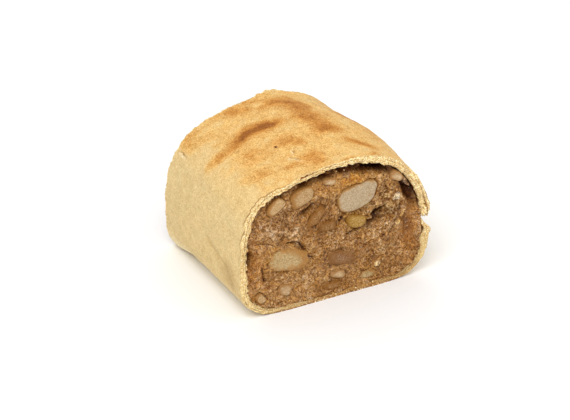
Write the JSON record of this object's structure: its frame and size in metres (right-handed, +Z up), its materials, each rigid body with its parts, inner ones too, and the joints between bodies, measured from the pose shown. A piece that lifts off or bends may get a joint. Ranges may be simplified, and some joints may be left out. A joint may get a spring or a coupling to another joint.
{
  "type": "apple strudel",
  "caption": "Portion of baked apple strudel cut from a log, with a rolled pastry sleeve round a crumbly apple filling that shows diced apple at both cuts.",
  "frame": {"origin": "centre of the flat foot's footprint box, on the surface that the portion stands on", "axes": "+Z up; +X across the log, to the right seen from the main cut; +Y along the log, away from the main cut, which faces -Y"},
  "size_m": [0.0776, 0.062, 0.0549],
  "materials": {
    "baked_pastry": "matt baked dough, pale on the walls and browned in patches on top",
    "apple_filling": "moist crumbly filling with a dull sheen",
    "apple_flesh": "moist cooked apple, cut flat"
  },
  "bodies": {
    "root": {"pastry": "baked_pastry", "filling": "apple_filling", "apple_main_1": "apple_flesh", "apple_main_2": "apple_flesh", "apple_main_3": "apple_flesh", "apple_main_4": "apple_flesh", "apple_main_5": "apple_flesh", "apple_main_6": "apple_flesh", "apple_main_7": "apple_flesh", "apple_main_8": "apple_flesh", "apple_main_9": "apple_flesh", "apple_main_10": "apple_flesh", "apple_main_11": "apple_flesh", "apple_main_12": "apple_flesh", "apple_main_13": "apple_flesh", "apple_main_14": "apple_flesh", "apple_main_15": "apple_flesh", "apple_other_1": "apple_flesh", "apple_other_2": "apple_flesh", "apple_other_3": "apple_flesh", "apple_other_4": "apple_flesh", "apple_other_5": "apple_flesh", "apple_other_6": "apple_flesh", "apple_other_7": "apple_flesh"}
  },
  "joints": []
}
